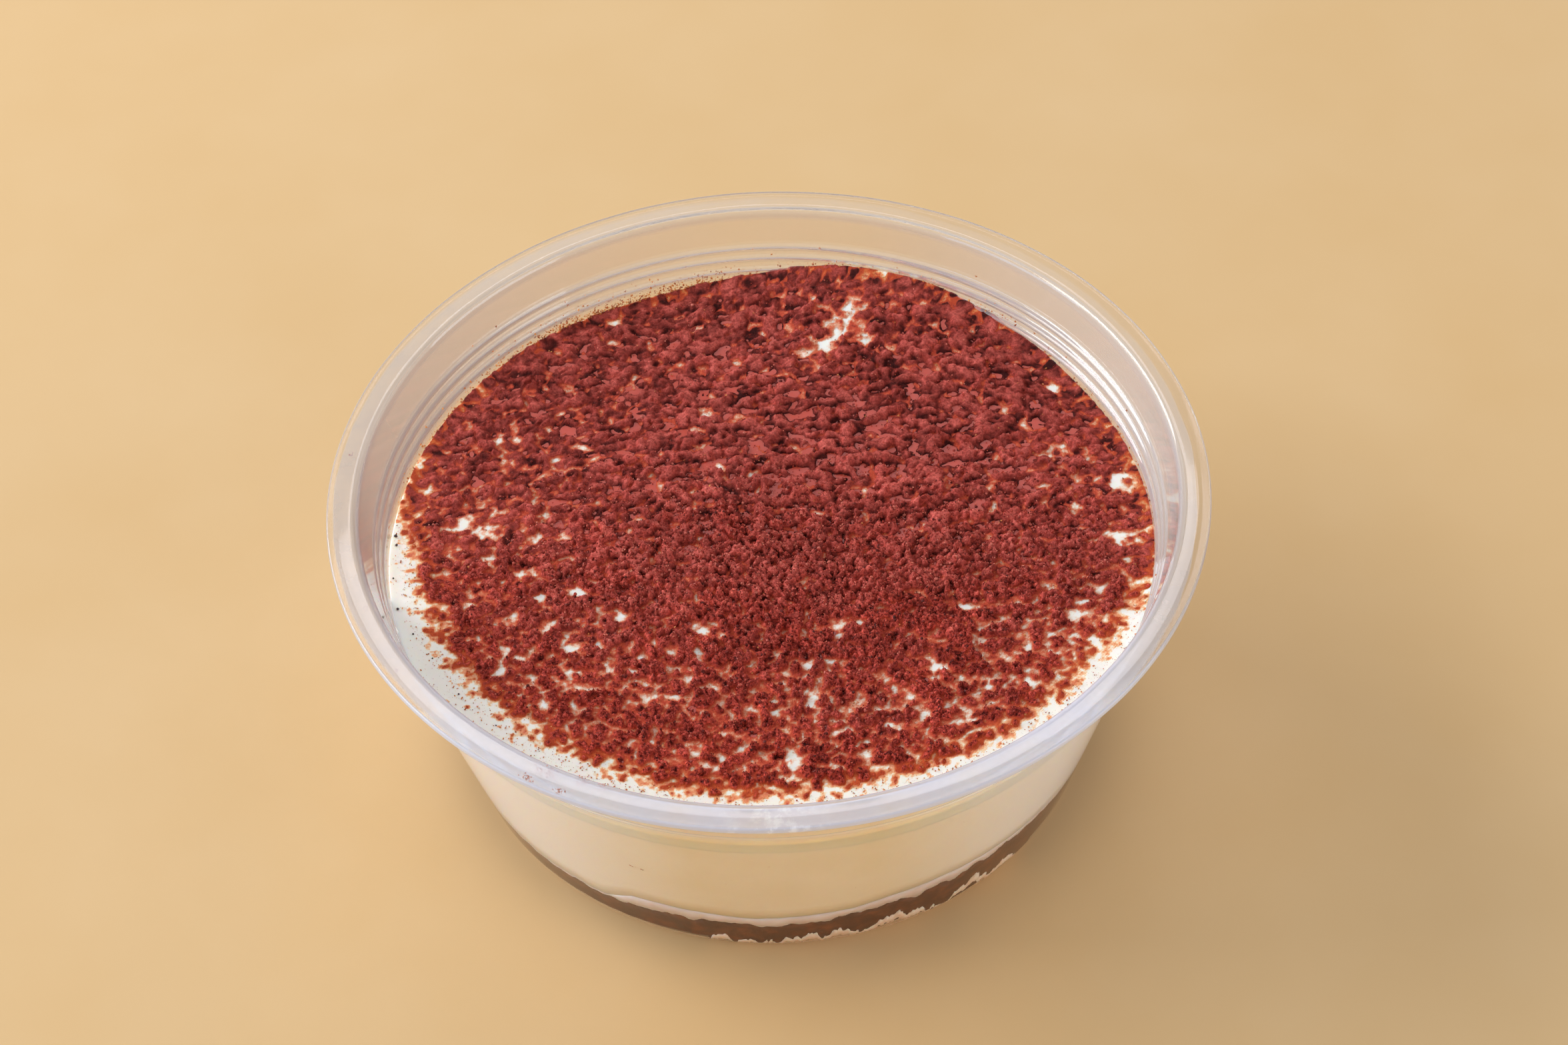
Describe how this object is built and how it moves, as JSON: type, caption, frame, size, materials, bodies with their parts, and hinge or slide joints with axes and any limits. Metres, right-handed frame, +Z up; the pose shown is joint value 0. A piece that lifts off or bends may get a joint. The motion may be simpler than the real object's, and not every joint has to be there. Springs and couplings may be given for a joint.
{
  "type": "tiramisu in a round tub",
  "caption": "Layered tiramisu with a lumpy cocoa dusting in a round, tapered, clear plastic tub with a flat rim.",
  "frame": {"origin": "middle of the tub's base, on the surface it stands on", "axes": "+Z up out of the tub's mouth; the side with the bare cream margin faces -Y"},
  "size_m": [0.117, 0.117, 0.0447],
  "materials": {
    "clear_plastic": "thin, clear, slightly milky moulded plastic",
    "pale_cream": "pale pinkish cream pressed wet against the wall",
    "soaked_sponge": "dark brown sponge soaked in coffee",
    "grey_cream": "thin grey-beige cream wetted by coffee",
    "mascarpone_cream": "smooth ivory mascarpone cream",
    "cocoa_powder": "dry lumpy cocoa powder, orange where it is thin"
  },
  "bodies": {
    "root": {"tub": "clear_plastic", "bottom_cream": "pale_cream", "sponge": "soaked_sponge", "soaked_cream": "grey_cream", "mascarpone": "mascarpone_cream", "cocoa": "cocoa_powder"}
  },
  "joints": []
}
